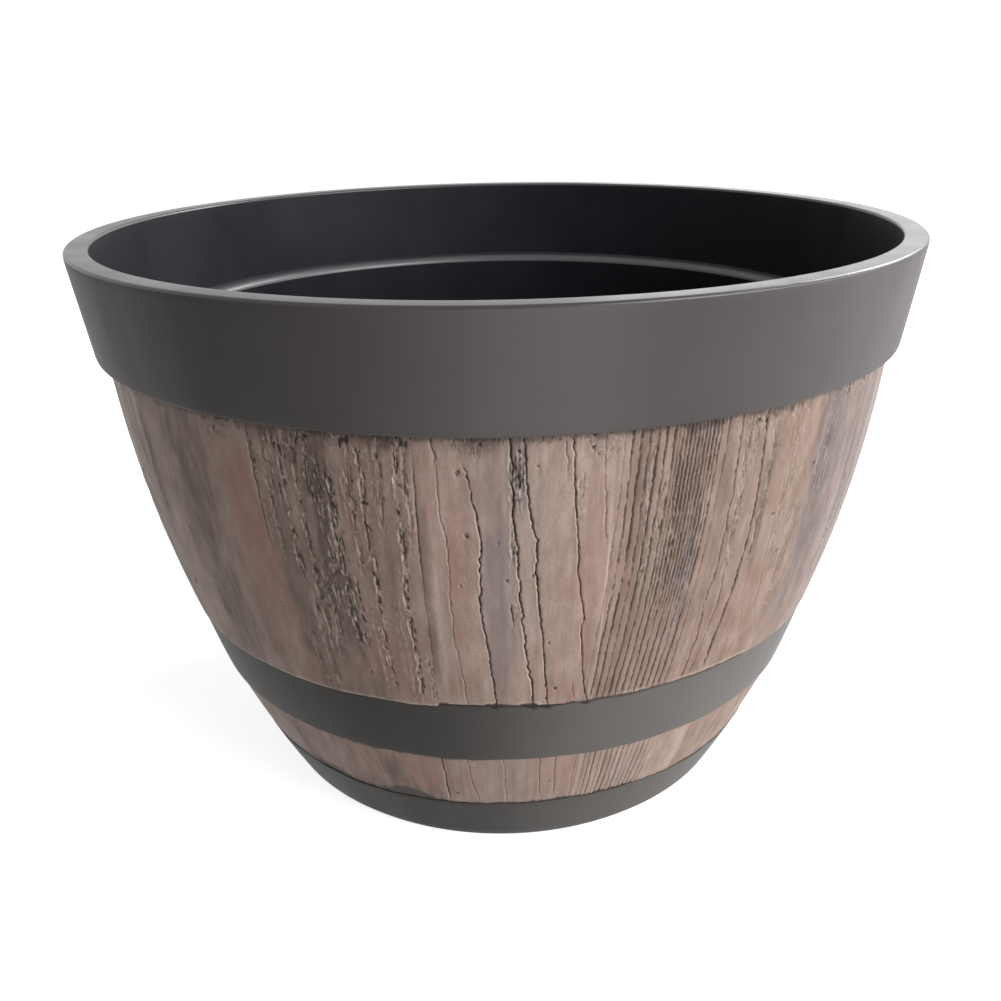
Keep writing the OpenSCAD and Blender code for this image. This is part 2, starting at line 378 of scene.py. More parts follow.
# Washes of each made-up stave: colour, greatest strength and how many
WASH_KINDS = (("umber", 0.95, 5), ("red", 0.5, 3), ("slate", 0.65, 3))


def other_marks(seed):
    """Cracks, worn strips, dents and washes for the staves that the front lists leave out."""
    rng = np.random.default_rng(seed)
    cracks = []
    worn = []
    dents = []
    washes = {"umber": list(FRONT_UMBER), "red": list(FRONT_RED), "slate": list(FRONT_SLATE)}
    for start, kind, _ in STAVES:
        if start in FRONT_STAVES:
            continue
        for _ in range(CRACK_COUNT[kind]):
            place = start + rng.uniform(1.5, 19)
            lean = rng.uniform(-1, 3)
            top = rng.choice([CRACK_TOP_Z, rng.uniform(150, CRACK_TOP_Z)])
            low = rng.choice([HOOP_TOP_Z, rng.uniform(HOOP_TOP_Z, top - 30)])
            heights = np.linspace(top, low, 9)
            drift = np.cumsum(rng.normal(0, 0.18, 9))
            path = [(h, place + lean * (CRACK_TOP_Z - h) / (CRACK_TOP_Z - HOOP_TOP_Z) + d)
                    for h, d in zip(heights, drift)]
            cracks.append((rng.uniform(0.22, 0.34), rng.uniform(0.4, 1), path))
            if rng.random() < 0.6:
                foot = path[-1][1] + 0.6
                cracks.append((0.26, 0.45, [(66, foot), (rng.uniform(32, 45), foot + 0.4)]))
        for _ in range(WORN_COUNT[kind]):
            place = start + rng.uniform(0.5, 20)
            top = rng.choice([WORN_TOP_Z, rng.uniform(160, WORN_TOP_Z)])
            low = max(98, top - rng.uniform(20, 110))
            worn.append((place, top, low, rng.uniform(0.2, 0.6), rng.uniform(0.5, 1)))
        for _ in range(DENT_COUNT):
            dents.append((start + rng.uniform(1, 20), rng.uniform(100, 208), rng.uniform(0.5, 1.1)))
        for tint, most, count in WASH_KINDS:
            for _ in range(count):
                place = start + rng.uniform(1, 20)
                height = rng.uniform(35, 205)
                half_deg = rng.uniform(0.8, 3)
                half_mm = rng.uniform(12, 45)
                washes[tint].append((place, height, half_deg, half_mm, rng.uniform(0.3, most)))
    return cracks, worn, dents, washes


def blank(deg, z):
    """A field of zeros over a row of angles and a column of heights, as all fields here are."""
    return np.zeros((len(z), len(deg)))


def raise_to(field, near, values):
    """Lifts the field's columns that are near to these values, where they are higher."""
    field[:, near] = np.maximum(field[:, near], values)


def arc_away(deg, centre, r):
    """How far each angle lies from the centre at each height, in millimetres round the wall."""
    return wrapped(deg - centre) * np.radians(r)


def crack_fields(deg, z, r, cracks):
    """Depth of the long cracks, and the raised lips to the left of them painted pale as highlights, from 0
    to 1.
    """
    depth_field = blank(deg, z)
    lip_highlight_field = blank(deg, z)
    for seed, (half, depth, path) in enumerate(cracks):
        own = partial(noise, 7 * seed, z, 5)
        heights, places = (np.array([point[k] for point in path][::-1], float) for k in (0, 1))
        centre = np.interp(z, heights, places) + 0.06 * np.tanh(8 * own(7, 900)) + 0.05 * own(3, 901)
        centre = centre + 0.12 * own(1.4, 905)
        ends = plateau(heights[0] - 3, heights[0] + 2, heights[-1] - 1, heights[-1] + 2, z)
        swell = half * (1 + 0.3 * own(6, 902) + 0.5 * own(1.6, 904))
        near = np.abs(wrapped(deg - places.mean())) < 6
        away = arc_away(deg[near], centre, r)
        raise_to(depth_field, near, hill(away, swell) * (depth * ends))
        broken = ramp(-0.2, 0.4, own(8, 903) + 0.3 * own(2, 906)) * ends * (0.1 + 0.6 * depth)
        # Painted highlight on a raised lip, on the side of the crack that light falls on
        raise_to(lip_highlight_field, near, hill(away + 2.3 * half, 0.9 * half + 0.08) * broken)
    return depth_field, lip_highlight_field


def joint_fields(deg, z, r):
    """Grooves where two staves meet, and the ridge that starts each ribbed stave."""
    groove = blank(deg, z)
    ridge = blank(deg, z)
    for seed, (start, kind, _) in enumerate(STAVES):
        own = partial(noise, 5 * seed, z, 5)
        away = arc_away(deg, start + 0.1 * own(25, 910) + 0.05 * own(4, 911), r)
        if kind == "ribbed":
            ridge = np.maximum(ridge, hill(away, 0.5))
        else:
            strength = 0.45 + 0.5 * own(22, 912)
            if kind != "cracked":
                strength = strength * np.maximum(ramp(130, 190, z), 0.35)
            groove = np.maximum(groove, hill(away, 0.38) * strength)
    return groove, ridge


def worn_fields(deg, z, r, strips):
    """Chains of short ragged pits down the worn strips, and the raised crumbs beside them painted pale as
    highlights.
    """
    pits = blank(deg, z)
    crumbs = blank(deg, z)
    area = blank(deg, z)
    for seed, (place, top, low, width, strength) in enumerate(strips):
        ends = plateau(low - 4, low + 6, top - 4, top + 2, z) * strength
        near = np.abs(wrapped(deg - place)) < 4
        chains = 1 + round(width / 0.3)
        drift = 0.25 * noise(3 * seed, z, 5, 16, 920)
        spread = wrapped(deg[near] - place - drift)
        raise_to(area, near, hill(spread, width + 0.25) * ends)
        for chain in range(chains):
            own = partial(noise, 40 * seed + 9 * chain, z, 5)
            centre = place + drift + width * 0.8 * (chain - (chains - 1) / 2)
            centre = centre + 0.12 * own(7, 921) + 0.1 * own(1.6, 922)
            dash = ramp(-0.1, 0.5, 0.8 * own(6, 923) + own(1.7, 924))
            half = 0.32 * (1 + 0.6 * own(1.6, 925))
            away = arc_away(deg[near], centre, r)
            raise_to(pits, near, hill(away, half) * (dash * ends * strength))
            loose = own(2.4, 926)
            beside = away + 0.8 + 0.2 * loose
            # Raised crumbs on one side of the pits, painted pale as highlights
            raise_to(crumbs, near, hill(beside, 0.36) * (ramp(-0.1, 0.5, loose) * ends))
    return pits, crumbs, area


def dent_field(deg, z, r, dents):
    """Small round dents, from 0 to 1."""
    field = blank(deg, z)
    for place, height, radius in dents:
        near = np.abs(wrapped(deg - place)) < 2
        away = arc_away(deg[near], place, r) / radius
        up = (z - height) / (1.3 * radius)
        apart = away ** 2 + up ** 2
        uneven = 0.8 * noise(deg[near], z, 0.35, 1.3, 930)
        raise_to(field, near, hill(apart + uneven, 1) * (apart < 3))
    return field


# How far apart the ribs are, in degrees, and how many strengths they take in turn
RIB_PITCH = 0.98
RIB_STRENGTHS = 64

# A height behind the hoop, which parts the wall's two visible stretches
BEHIND_HOOP_Z = 80


def rib_field(deg, z):
    """Grooves of the closely ribbed staves, from 0 to 1."""
    own = partial(noise, deg, z)
    above = z > BEHIND_HOOP_Z
    strengths = np.random.default_rng(5).uniform(0.7, 1, RIB_STRENGTHS)
    field = blank(deg, z)
    for seed, (start, kind, _) in enumerate(STAVES):
        if kind != "ribbed":
            continue
        slant = np.where(above, 2.3 * np.clip((WORN_TOP_Z - z) / 113, 0, 1.1) ** 1.3, 0.4)
        place = wrapped(deg - start) + slant
        place = place + 0.12 * own(3, 22, 5000 + seed) + 0.05 * own(0.9, 5, 5100 + seed)
        place = place + 0.07 * own(0.5, 1.4, 5150 + seed)
        wave = 0.5 + 0.5 * np.cos(2 * np.pi * place / RIB_PITCH)
        close = plateau(6, 8, 12, 13, place) * ramp(120, 155, z)
        groove = np.maximum(wave ** (5 + 2.5 * own(0.6, 6, 5300 + seed)), (1 - wave) ** 9 * close)
        strength = strengths[(np.round(place / RIB_PITCH).astype(int) + 9 * seed) % RIB_STRENGTHS]
        inside = plateau(0.7, 1.4, 12.4, 14.8, place)
        outside = plateau(12.4, 14.8, 17, 21, place) * 0.2
        patchy = 0.75 + 0.2 * ramp(130, 170, z) + 0.45 * own(0.9, 18, 5200 + seed)
        patchy = patchy + 0.5 * own(0.5, 2.2, 5250 + seed) * ramp(105, 150, z)
        on = (np.abs(wrapped(deg - start - 10)) < 14) * np.clip(inside + outside, 0, 1)
        rib = groove * strength * on * np.clip(patchy, 0.1, 1) * np.where(above, 1, 0.8)
        field = np.maximum(field, rib)
    return field


def wash_field(deg, z, washes, seed):
    """Soft patches of colour with streaky edges, from 0 to 1."""
    own = partial(noise, deg, z)
    field = blank(deg, z)
    streak = 0.7 * own(1.1, 16, seed) + 0.5 * own(0.5, 7, seed + 1) + 0.25 * own(0.4, 3, seed + 2)
    for place, height, half_deg, half_mm, strength in washes:
        near = np.abs(wrapped(deg - place)) < 3 * half_deg
        away = np.sqrt((wrapped(deg[near] - place) / half_deg) ** 2 + ((z - height) / half_mm) ** 2)
        raise_to(field, near, strength * ramp(-1.7, -0.2, -away + 0.7 * streak[:, near]))
    return field


def stave_spans():
    """Start, width, kind and paleness of each stave."""
    for i, (start, kind, tone) in enumerate(STAVES):
        yield start, (STAVES[(i + 1) % len(STAVES)][0] - start) % 360, kind, tone


def stave_tones(deg):
    """How pale each stave is, with soft edges between them."""
    tones = np.zeros(len(deg))
    for start, span, _, tone in stave_spans():
        tones = tones + tone * plateau(0, 0.3, span, span + 0.3, (deg - start) % 360)
    return tones


def kind_share(deg, wanted):
    """1 inside the staves of one kind and 0 in the others."""
    share = np.zeros(len(deg))
    for start, span, kind, _ in stave_spans():
        if kind == wanted:
            share = np.maximum(share, (deg - start) % 360 < span)
    return share


# The painted shadow line along the hoop's upper edge starts at the joint between two front staves
SEAM_FROM = -99.6
SEAM_FULL = -99.2


def hoop_edge(deg):
    """How far the middle hoop's upper edge wanders from its height."""
    step = 1.1 * plateau(SEAM_FROM, -99.3, -99, -76, deg)
    return step + 0.3 * noise(deg, 0, 6, 50, 61) + 0.08 * noise(deg, 0, 1.5, 50, 62)


def base_edge(deg):
    """How far the base ring's upper edge wanders from its height."""
    return 0.45 * noise(deg, 0, 7, 50, 63) + 0.25 * noise(deg, 0, 1.6, 50, 64)


def wall_relief(deg, z, r):
    """Relief of the wood-effect face in millimetres, and the marks on it that its colours follow."""
    own = partial(noise, deg, z)
    cracks, strips, dents, washes = other_marks(11)
    crack, lip = crack_fields(deg, z, r, FRONT_CRACKS + cracks)
    groove, ridge = joint_fields(deg, z, r)
    pits, crumbs, area = worn_fields(deg, z, r, FRONT_WORN + strips)
    dent = dent_field(deg, z, r, FRONT_DENTS + dents)
    above_hoop = z - HOOP_TOP_Z
    rib = rib_field(deg, z) * ramp(0.3, 3.5, np.abs(above_hoop))

    # Rotten upper ends, pits and crumbs in the worn areas
    often = own(2.5, TALL, 22) + 0.5 * kind_share(deg, "worn")
    rot = ramp(205, 214, z + 4 * own(1.6, 60, 21)) * ramp(-0.1, 0.4, often)
    area = np.maximum(area, rot)
    grit = own(0.5, 2.6, 31) + 0.5 * own(0.28, 1.3, 32)
    pits = np.maximum(pits, area * ramp(0.45, 0.9, grit))
    loops = np.clip(1 - np.abs(own(0.75, 4, 33) + 0.3 * own(0.3, 1.6, 34)) / 0.2, 0, 1) * area
    crumbs = np.maximum(crumbs, 0.8 * loops)

    # Broad waves, fine flutes and lumps of the wood
    broad = 0.6 * own(4, 90, 41) + 0.4 * own(1.6, 70, 42)
    flutes = noise(deg + 0.3 * own(3, 40, 43), z, 0.7, 60, 44) * (1 - 0.8 * kind_share(deg, "plain"))
    lumps = 0.5 * own(0.5, 3, 45) + 0.5 * own(0.9, 7, 46)

    # Painted shadow line along the hoop's upper edge, and the broken painted highlight on the wood's edge
    # over it
    seam_shadow_on = plateau(SEAM_FROM, SEAM_FULL, -52, -44, deg)
    seam_shadow_on = np.maximum(seam_shadow_on, ramp(0, 0.3, own(14, TALL, 23)) * (np.abs(deg + 90) > 50))
    whole = plateau(-79, -77, -52, -44, deg)
    seam_shadow_on = seam_shadow_on * (above_hoop > -2) * np.maximum(whole, ramp(-0.7, 0, own(1.3, TALL, 24)))
    painted_seam_shadow = hill(above_hoop - 0.6, 0.9 + 0.3 * whole) * seam_shadow_on
    # Painted highlight on the wood's lower edge over the hoop, where that edge catches light
    edge_highlight_on = plateau(-131, -129, -99.8, -99.4, deg)
    edge_highlight_on = np.maximum(edge_highlight_on, ramp(-0.1, 0.4, own(3, TALL, 25)) * ramp(0.2, 1.2, above_hoop))
    edge = hill(above_hoop - 0.6 - 1.4 * seam_shadow_on, 0.7) * edge_highlight_on * ramp(-0.8, 0, own(1.6, TALL, 26))

    # The dark marks are dark paint in the carving, together with the painted shadow line along the hoop
    dark = np.maximum.reduce([crack, 0.8 * groove, 0.85 * pits, 0.65 * dent, 0.8 * painted_seam_shadow])
    # The light marks are raised crests and edges painted pale as highlights, on the side that light falls on
    light = np.maximum.reduce([lip, crumbs, 0.45 * ridge * ramp(-195, -165, -z), 0.8 * edge])
    light = light * (1 - dark)
    relief = (0.25 * broad + 0.06 * flutes + 0.05 * lumps + 0.22 * light
              - 0.8 * crack - 0.5 * groove - 0.6 * rib - 0.6 * pits - 0.4 * dent)
    return relief, dark, light, rib, area, washes


def wall_colours(deg, z, washes):
    """Where the wall is stained dark, red and grey, and how pale its wood is."""
    own = partial(noise, deg, z)

    # Dark paint bleed over the base ring and under the rim band, painted shadow along the rim band's lower
    # edge, and darkening just under the hoop
    # How high the paint bleed over the base ring reaches
    bleed_and_shade = 0.5 + 1.2 * own(5, TALL, 51) + 0.9 * own(1.2, TALL, 52) + 0.5 * own(0.4, TALL, 55)
    bleed_and_shade = bleed_and_shade + 6.5 * hill(wrapped(deg + 108.5), 4.2) + 2.8 * hill(wrapped(deg + 126), 14)
    base_bleed = ramp(-1.6, 1.6, BASE_RING_H + bleed_and_shade - z)
    ragged = 2 * own(1.4, TALL, 53) + 1.5 * own(0.4, TALL, 54)
    rim_bleed = ramp(-2, 3, z - (WORN_TOP_Z + ragged)) * ramp(-0.35, 0.3, own(3.2, TALL, 56))
    # Painted shadow in a thin line under the rim band
    painted_shade_under_rim = ramp(212.6, 215.4, z + 0.8 * own(1.2, TALL, 57) + 0.6 * own(0.4, TALL, 58))
    fringe = 0.2 + 1.1 * own(1.4, TALL, 59) + 1.2 * hill(wrapped(deg + 108), 12)
    under_hoop = ramp(-1.2, 0.8, z - HOOP_Z + fringe) * (z < HOOP_Z + 2)
    bleed_and_shade = np.maximum.reduce([base_bleed, 0.55 * rim_bleed, 0.5 * painted_shade_under_rim, 0.7 * under_hoop])

    # How pale the wood is, from stave to stave and in streaks
    streaky = 1 - 0.8 * kind_share(deg, "plain")
    tone = stave_tones(deg) + 0.25 * own(2.2, 60, 81) + 0.2 * own(0.8, 24, 82) * streaky
    tone = tone + 0.22 * own(1.2, 8, 83) + 0.16 * own(0.5, 4, 84)
    tone = tone + 0.22 * own(0.28, 12, 85) * kind_share(deg, "cracked") - 0.25 * ramp(-150, -105, -z)
    tone = tone + 0.7 * kind_share(deg, "ribbed") * ramp(-100, -80, -z)
    seeds = {"umber": 71, "red": 75, "slate": 79}
    stains = (wash_field(deg, z, washes[tint], seed) for tint, seed in seeds.items())
    return *stains, bleed_and_shade, tone


# Columns of the wall's mesh, finer in front, and rows of its stretches
FRONT_COLUMNS = 1440
BACK_COLUMNS = 1060
UPPER_ROWS = 190
LOWER_ROWS = 42
HIDDEN_ROWS = 5
INNER_ROWS = 12

# What the wall stores at each point for its colours
WALL_MARKS = ("dark", "light", "rib", "area", "umber", "red", "slate", "bleed_and_shade", "tone")


def wood_wall():
    """The wood-effect wall, carved between the bands and plain where they hide it."""
    deg = np.concatenate([
        np.linspace(-150, -30, FRONT_COLUMNS, endpoint=False),
        np.linspace(-30, 210, BACK_COLUMNS, endpoint=False),
    ])
    tongue_z = np.array([SHOULDER_Z - NEST_GAP, SHELL_TOP_Z])

    # Heights of each stretch, how far it is set in, whether it is carved and its share of the map
    sections = [
        (np.array([SHELL_TOP_Z, 219]), 0, 0, 0.3),
        (np.linspace(BAND_LOW_Z - 0.2, HOOP_TOP_Z + NEST_GAP, UPPER_ROWS), 0, 1, 1),
        (np.linspace(HOOP_TOP_Z + NEST_GAP, HOOP_Z, HIDDEN_ROWS), SEAT_DEPTH, 0, 0.15),
        (np.linspace(HOOP_Z, BASE_RING_H, LOWER_ROWS), 0, 1, 1),
        (np.linspace(BASE_RING_H, BASE_SEAT_Z, HIDDEN_ROWS), SEAT_DEPTH, 0, 0.15),
        (np.linspace(BASE_SEAT_Z, tongue_z[0], INNER_ROWS), SHELL_WALL, 0, 0.05),
        (tongue_z, 0, 0, 0.05),
    ]
    z = np.concatenate([heights for heights, *_ in sections])[:, None]
    rows = [len(heights) for heights, *_ in sections]
    inset, carved, share = np.repeat([section[1:] for section in sections], rows, axis=0).T[:, :, None]
    r = belly_r(z, inset)
    r[-2:, 0] = mouth_r(tongue_z) + RIM_WALL + NEST_GAP

    relief, dark, light, rib, area, washes = wall_relief(deg, z, r)
    relief = np.where(relief > 0, relief * (1 - ramp(BAND_LOW_Z - 4, BAND_LOW_Z, z)), relief)
    face_r = r + relief * carved

    # The face's edges follow those of the hoop and the base ring
    near_hoop = ramp(-HOOP_TOP_Z - 8, -HOOP_TOP_Z, -z) * (z > HOOP_Z + 1)
    near_base = ramp(-BASE_RING_H - 8, -BASE_RING_H, -z) * (z > BASE_SEAT_Z + 1)
    face_z = z + (near_hoop * hoop_edge(deg) + near_base * base_edge(deg)) * carved
    seat_top = rows[0] + UPPER_ROWS
    face_z[seat_top] = face_z[seat_top - 1]
    seat_low = seat_top + HIDDEN_ROWS + LOWER_ROWS
    face_z[seat_low] = face_z[seat_low - 1]

    length = np.hypot(np.roll(r, -1) - r, np.roll(z, -1) - z)
    wall = turned("wood_wall", face_r, face_z, deg, weights=length * share + 0.05)
    fields = (dark, light, rib, area, *wall_colours(deg, z, washes))
    for name, values in zip(WALL_MARKS, fields):
        paint(wall, name, values)
    return wall


# The smooth bands

BAND_COLUMNS = 512
SHARP_ANGLE = math.radians(50)


def angle_and_height(piece):
    """Angle in degrees and height in millimetres of each of a piece's points."""
    points = np.empty(len(piece.data.vertices) * 3)
    piece.data.vertices.foreach_get("co", points)
    x, y, z = points.reshape(-1, 3).T / MM
    return np.degrees(np.arctan2(y, x)), z


def band_painted_sheen(deg):
    """How much painted sheen the rim band gets, from 0 to 1: most in front, where light falls, least to the
    left of that, where shade falls.
    """
    front = plateau(-107, -87, -84, -70, deg)
    return 0.32 + 0.68 * front - 0.32 * hill(wrapped(deg + 124), 14) + 0.15 * hill(wrapped(deg + 49), 10)


def hoop_painted_sheen(deg):
    """How much painted light the two lower bands get, from 0 to 1: most right of the front, where light
    falls, least to the left of the front.
    """
    right = plateau(-101, -76, -30, 25, deg)
    return 0.3 + 0.7 * right - 0.3 * hill(wrapped(deg + 109), 13)


def no_lift(deg, z):
    return 0


def ring_piece(name, corners, ripple, seed, painted_sheen_at, lift=no_lift):
    """A turned ring with rounded corners; ripple is how far its face is out of true."""
    deg = even_angles(BAND_COLUMNS)
    r, z = profile_columns(corners, 4)
    out_of_true = ripple * (0.7 * noise(deg, z, 14, 40, seed) + 0.3 * noise(deg, z, 5, 18, seed + 1))
    r = r + out_of_true * ramp(0, 14, np.abs(LIP_LOW_Z - z))
    ring = turned(name, r, z + lift(deg, z), deg)
    ring.data.set_sharp_from_angle(angle=SHARP_ANGLE)
    # Painted sheen: how much paler each point of the ring is, by where light falls on it
    paint(ring, "painted_sheen", painted_sheen_at(angle_and_height(ring)[0]))
    return ring


def rim_band_piece():
    inner_low = belly_r(BAND_LOW_Z) + NEST_GAP
    inner_top = belly_r(SHELL_TOP_Z) + NEST_GAP
    slit_r = mouth_r(SHELL_TOP_Z) + RIM_WALL + NEST_GAP
    top_in_r = mouth_r(LIP_LOW_Z) + RIM_WALL + NEST_GAP
    return ring_piece("rim_band_skin", [
        (inner_low, BAND_LOW_Z, 0), (band_r(BAND_LOW_Z), BAND_LOW_Z, 1.6),
        (band_r(LIP_LOW_Z), LIP_LOW_Z, 0), (top_in_r, LIP_LOW_Z, 0),
        (slit_r, SHELL_TOP_Z, 0), (inner_top, SHELL_TOP_Z, 0),
    ], 0.12, 101, band_painted_sheen)


def hoop_lift(deg, z):
    """How far the hoop's two edges wander up and down."""
    upper = hoop_edge(deg) * ramp(HOOP_TOP_Z - 9, HOOP_TOP_Z - 1, z)
    return upper + 0.22 * noise(deg, 0, 5, 50, 66) * ramp(-HOOP_Z - 5, -HOOP_Z - 1, -z)


def hoop_seam_shadow_width(deg):
    """Height of the painted shadow line along the hoop's upper edge, deeper where a crack runs into it."""
    width = (1 + 0.7 * ramp(79, 85, -deg)) * (1 + 0.25 * noise(deg, 0, 2, 50, 67))
    for _, depth, path in FRONT_CRACKS:
        foot_z, foot_deg = path[-1]
        if abs(foot_z - HOOP_TOP_Z) < 2:
            width = width + 1.4 * depth * hill(deg - foot_deg, 0.6)
    return width * plateau(SEAM_FROM, SEAM_FULL, -54, -46, deg)


def middle_hoop_piece():
    """The hoop, with a painted shadow line and a slight roll along its upper edge."""
    drops = (4, 3.2, 2.6, 2, 1.5, 1, 0.5, 0)
    heights = [*np.linspace(HOOP_Z, HOOP_TOP_Z - 5, 8), *(HOOP_TOP_Z - drop for drop in drops)]
    slope = (HOOP_PROUD + HOOP_SINK) / (HOOP_TOP_Z - HOOP_Z)
    corners = [(belly_r(z) + HOOP_PROUD - slope * (z - HOOP_Z), z, 0) for z in heights]
    corners[0] = (*corners[0][:2], 0.5)
    corners += [(belly_r(z, SEAT_DEPTH - NEST_GAP), z, 0) for z in np.linspace(HOOP_TOP_Z, HOOP_Z, 7)]
    hoop = ring_piece("middle_hoop_skin", corners, 0.1, 111, hoop_painted_sheen, hoop_lift)
    deg, z = angle_and_height(hoop)
    below_edge = HOOP_TOP_Z + hoop_edge(deg) - z
    # Painted shadow along the hoop's upper edge, where the wood overhangs it
    paint(hoop, "painted_seam_shadow", ramp(0, 0.8, hoop_seam_shadow_width(deg) - below_edge))
    return hoop


def base_lift(deg, z):
    return base_edge(deg) * ramp(BASE_RING_H - 7, BASE_RING_H - 1, z)


def base_ring_piece():
    """The ring at the foot, nested in its seat, with a rounded lower edge."""
    centre_r = belly_r(0) + BASE_PROUD - BASE_ROUND
    seat = SEAT_DEPTH - NEST_GAP
    corners = [(centre_r + BASE_ROUND * math.cos(a), BASE_ROUND + BASE_ROUND * math.sin(a), 0)
               for a in np.radians(np.linspace(-90, -22, 7))]
    corners += [(belly_r(z) + BASE_PROUD, z, 0) for z in np.linspace(BASE_ROUND + 1, BASE_RING_H - 3, 6)]
    corners.append((belly_r(BASE_RING_H) + BASE_PROUD, BASE_RING_H, 0.5))
    corners += [(belly_r(z, seat), z, 0) for z in (BASE_RING_H, 25, 19, BASE_SEAT_Z)]
    corners += [(belly_r(z, POT_INSET - NEST_GAP), z, 0) for z in (BASE_SEAT_Z, 6, 0)]
    return ring_piece("base_ring_skin", corners, 0.08, 121, hoop_painted_sheen, base_lift)


# The black pot

# Small ragged nicks in the lip's outer edge: angle and half width in degrees
LIP_NICKS = [(-103.5, 1), (-75, 0.7), (-73.6, 0.5), (-60, 0.9), (-12, 0.8), (38, 1), (97, 0.7), (161, 0.9)]

# Radius of the small hole that a turned floor or plug leaves at its middle until it is closed
CENTRE_GAP = 0.5
PLUG_CENTRE_GAP = 0.3

PLUG_COLUMNS = 72


def lip_nicks(deg, z):
    """Depth of the ragged nicks along the lip's outer edge, from 0 to 1."""
    ragged = 0.5 + 0.5 * noise(deg, z, 0.7, 3, 131)
    return sum(hill(wrapped(deg - place), half) * ragged for place, half in LIP_NICKS)


# Direction of the first drain hole, in degrees
DRAIN_TURN = 45


def drain_places():
    """Number and place of each drain hole."""
    for k in range(DRAIN_COUNT):
        turn = math.radians(DRAIN_TURN + 360 / DRAIN_COUNT * k)
        yield k + 1, DRAIN_PITCH_R * math.cos(turn), DRAIN_PITCH_R * math.sin(turn)


def disc_cutter(x, y, radius, z_low, z_high):
    mesh = bpy.data.meshes.new("cutter")
    maker = bmesh.new()
    bmesh.ops.create_cone(maker, cap_ends=True, segments=64, radius1=radius * MM, radius2=radius * MM,
                          depth=(z_high - z_low) * MM)
    bmesh.ops.translate(maker, vec=(x * MM, y * MM, (z_low + z_high) / 2 * MM), verts=maker.verts)
    maker.to_mesh(mesh)
    maker.free()
    return placed("cutter", mesh)


def cut_hole(piece, cutter):
    """Cuts the cutter out of the piece and clears it away."""
    cut = piece.modifiers.new("cut", "BOOLEAN")
    cut.object = cutter
    cut.solver = "EXACT"
    bpy.context.view_layer.objects.active = piece
    with bpy.context.temp_override(object=piece, active_object=piece, selected_objects=[piece]):
        bpy.ops.object.modifier_apply(modifier=cut.name)
    mesh = cutter.data
    bpy.data.objects.remove(cutter)
    bpy.data.meshes.remove(mesh)


def close_centre(piece, gap, heights):
    """Draws the small hole of radius gap together at these heights and drops its inner wall."""
    maker = bmesh.new()
    maker.from_mesh(piece.data)
    near = [v for v in maker.verts if math.hypot(v.co.x, v.co.y) < gap * 1.5 * MM]
    for height in heights:
        ring = [v for v in near if abs(v.co.z - height * MM) < 0.2 * MM]
        near = [v for v in near if v not in ring]
        bmesh.ops.pointmerge(maker, verts=ring, merge_co=(0, 0, height * MM))
    bmesh.ops.delete(maker, geom=near, context="VERTS")
    stray = [e for e in maker.edges if not e.link_faces]
    bmesh.ops.delete(maker, geom=stray, context="EDGES")
    maker.to_mesh(piece.data)
    maker.free()


def pot_piece():
    """The bowl on its ring foot, with the ledge, the flared rim, the lip and the drain holes."""
    lean = math.asin((ARC_Z0 - FLOOR_Z - FLOOR_FILLET) / (BELLY_ARC_R - BOWL_INSET))
    wall_z = FLOOR_Z + FLOOR_FILLET * (1 - math.sin(lean))
    fillet_r = belly_r(wall_z, BOWL_INSET) - FLOOR_FILLET * math.cos(lean)
    fillet_z = FLOOR_Z + FLOOR_FILLET
    foot_in_r = belly_r(0, POT_INSET) - FOOT_W
    ledge_low = LEDGE_Z - LEDGE_DROP
    ledge_w = mouth_r(LEDGE_Z) - belly_r(ledge_low, BOWL_INSET)
    corners = [(CENTRE_GAP, FLOOR_LIFT, 0), (foot_in_r, FLOOR_LIFT, 0.5), (foot_in_r, 0, 0.3)]
    corners += [(belly_r(z, POT_INSET), z, 0) for z in np.linspace(0, SHOULDER_Z, 24)]
    corners += [(mouth_r(z) + RIM_WALL, z, 0) for z in (SHOULDER_Z, LIP_LOW_Z)]
    corners += [(band_r(LIP_LOW_Z), LIP_LOW_Z, 0), (WIDEST_R, HEIGHT - LIP_EDGE, 0.6)]
    corners += [(WIDEST_R - LIP_EDGE, HEIGHT, 0.6), (RIM_R - LIP_W, HEIGHT, MOUTH_ROUND)]
    corners += [(mouth_r(LEDGE_Z) - ledge_w * math.sin(a), LEDGE_Z - LEDGE_DROP * (1 - math.cos(a)), 0)
                for a in np.radians(np.linspace(0, 90, 9))]
    corners += [(belly_r(z, BOWL_INSET), z, 0) for z in np.linspace(ledge_low - 3, wall_z + 8, 22)]
    corners += [(fillet_r + FLOOR_FILLET * math.cos(a), fillet_z + FLOOR_FILLET * math.sin(a), 0)
                for a in np.linspace(-lean, -math.pi / 2, 7)]
    corners.append((CENTRE_GAP, FLOOR_Z, 0))

    deg = even_angles(BAND_COLUMNS)
    r, z = profile_columns(corners, 5)
    r = r + 0.15 * plateau(60, 110, RIM_R - 9, RIM_R - 4, r) * noise(deg, z, 12, 60, 141)
    on_edge = hill(z - HEIGHT + LIP_EDGE, 0.9) * ramp(RIM_R - 4, RIM_R - 2, r)
    r = r - 0.3 * on_edge * lip_nicks(deg, z)
    pot = turned("pot", np.minimum(r, WIDEST_R), z, deg)
    close_centre(pot, CENTRE_GAP, (FLOOR_LIFT, FLOOR_Z))
    for _, x, y in drain_places():
        cut_hole(pot, disc_cutter(x, y, DRAIN_R, FLOOR_LIFT - 2, FLOOR_Z + 2))
        cut_hole(pot, disc_cutter(x, y, PLUG_HEAD_R + HEAD_GAP, HEAD_SEAT_Z, FLOOR_Z + 2))
    pot.data.set_sharp_from_angle(angle=SHARP_ANGLE)
    return pot


